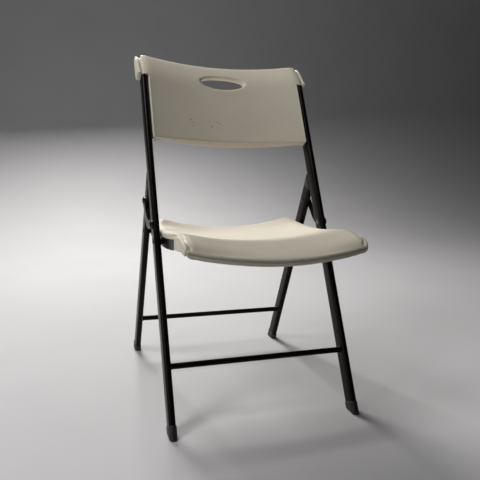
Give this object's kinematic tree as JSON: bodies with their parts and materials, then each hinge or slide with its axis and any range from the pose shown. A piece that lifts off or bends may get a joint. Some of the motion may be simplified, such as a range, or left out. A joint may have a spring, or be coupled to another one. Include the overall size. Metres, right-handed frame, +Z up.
{
  "type": "folding chair",
  "caption": "Steel-frame folding chair with dished moulded plastic seat and back, hand hole, slanted oval legs and a linked flat fold.",
  "frame": {"origin": "centre of the chair's box on the floor, as it stands open", "axes": "+Z up, -Y is the front of the chair, X across it; the chair is symmetric about X = 0"},
  "size_m": [0.487, 0.6151, 0.8698],
  "materials": {
    "bronze_paint": "semi-gloss dark bronze powder coat on flat oval steel tube",
    "moulded_plastic": "fine textured warm almond polyethylene",
    "black_plastic": "satin black moulded caps and bushes",
    "zinc_plate": "bright zinc plated washers and link pins",
    "dark_hardware": "dark rivets and screws"
  },
  "bodies": {
    "front_frame": {"front_cross_brace": "bronze_paint", "backrest": "moulded_plastic", "front_leg_left": "bronze_paint", "front_foot_cap_left": "black_plastic", "back_screw_lower_left": "dark_hardware", "back_screw_upper_left": "dark_hardware", "seat_pivot_pin_left": "dark_hardware", "seat_pivot_bush_left": "black_plastic", "link_lower_pin_left": "zinc_plate", "link_lower_washer_left": "zinc_plate", "front_leg_right": "bronze_paint", "front_foot_cap_right": "black_plastic", "back_screw_lower_right": "dark_hardware", "back_screw_upper_right": "dark_hardware", "seat_pivot_pin_right": "dark_hardware", "seat_pivot_bush_right": "black_plastic", "link_lower_pin_right": "zinc_plate", "link_lower_washer_right": "zinc_plate"},
    "seat": {"seat": "moulded_plastic", "seat_strap_front": "bronze_paint", "seat_strap_rear": "bronze_paint", "seat_screw_front_left": "dark_hardware", "seat_screw_front_right": "dark_hardware", "seat_screw_rear_left": "dark_hardware", "seat_screw_rear_right": "dark_hardware", "seat_arm_left": "bronze_paint", "seat_arm_right": "bronze_paint"},
    "rear_frame": {"rear_cross_brace": "bronze_paint", "rear_leg_left": "bronze_paint", "rear_foot_cap_left": "black_plastic", "rear_leg_top_cap_left": "black_plastic", "rear_pivot_pin_left": "dark_hardware", "rear_pivot_bush_left": "black_plastic", "leg_upper_rivet_left": "dark_hardware", "rear_leg_right": "bronze_paint", "rear_foot_cap_right": "black_plastic", "rear_leg_top_cap_right": "black_plastic", "rear_pivot_pin_right": "dark_hardware", "rear_pivot_bush_right": "black_plastic", "leg_upper_rivet_right": "dark_hardware"},
    "link_left": {"link_plate_left": "bronze_paint", "link_upper_rivet_left": "dark_hardware", "link_upper_washer_left": "zinc_plate"},
    "link_right": {"link_plate_right": "bronze_paint", "link_upper_rivet_right": "dark_hardware", "link_upper_washer_right": "zinc_plate"}
  },
  "joints": [
    {"name": "seat_fold", "type": "hinge", "parent": "front_frame", "child": "seat", "pos_m": [0, -0.03873, 0.40059], "axis": [-1, 0, 0], "range_deg": [0, 104]},
    {"name": "rear_leg_fold", "type": "hinge", "parent": "seat", "child": "rear_frame", "pos_m": [0, 0.11795, 0.40183], "axis": [-1, 0, 0], "range_deg": [-53.73, 0]},
    {"name": "link_left_turn", "type": "hinge", "parent": "front_frame", "child": "link_left", "pos_m": [-0.2383, -0.01789, 0.43982], "axis": [-1, 0, 0], "range_deg": [0, 120.48]},
    {"name": "link_right_turn", "type": "hinge", "parent": "front_frame", "child": "link_right", "pos_m": [0.2383, -0.01789, 0.43982], "axis": [-1, 0, 0], "range_deg": [0, 120.48]}
  ],
  "couplings": [
    {"joint": "rear_leg_fold", "follows": "seat_fold", "ratio": -0.51654},
    {"joint": "link_left_turn", "follows": "seat_fold", "ratio": 1.1583},
    {"joint": "link_right_turn", "follows": "seat_fold", "ratio": 1.1583}
  ]
}
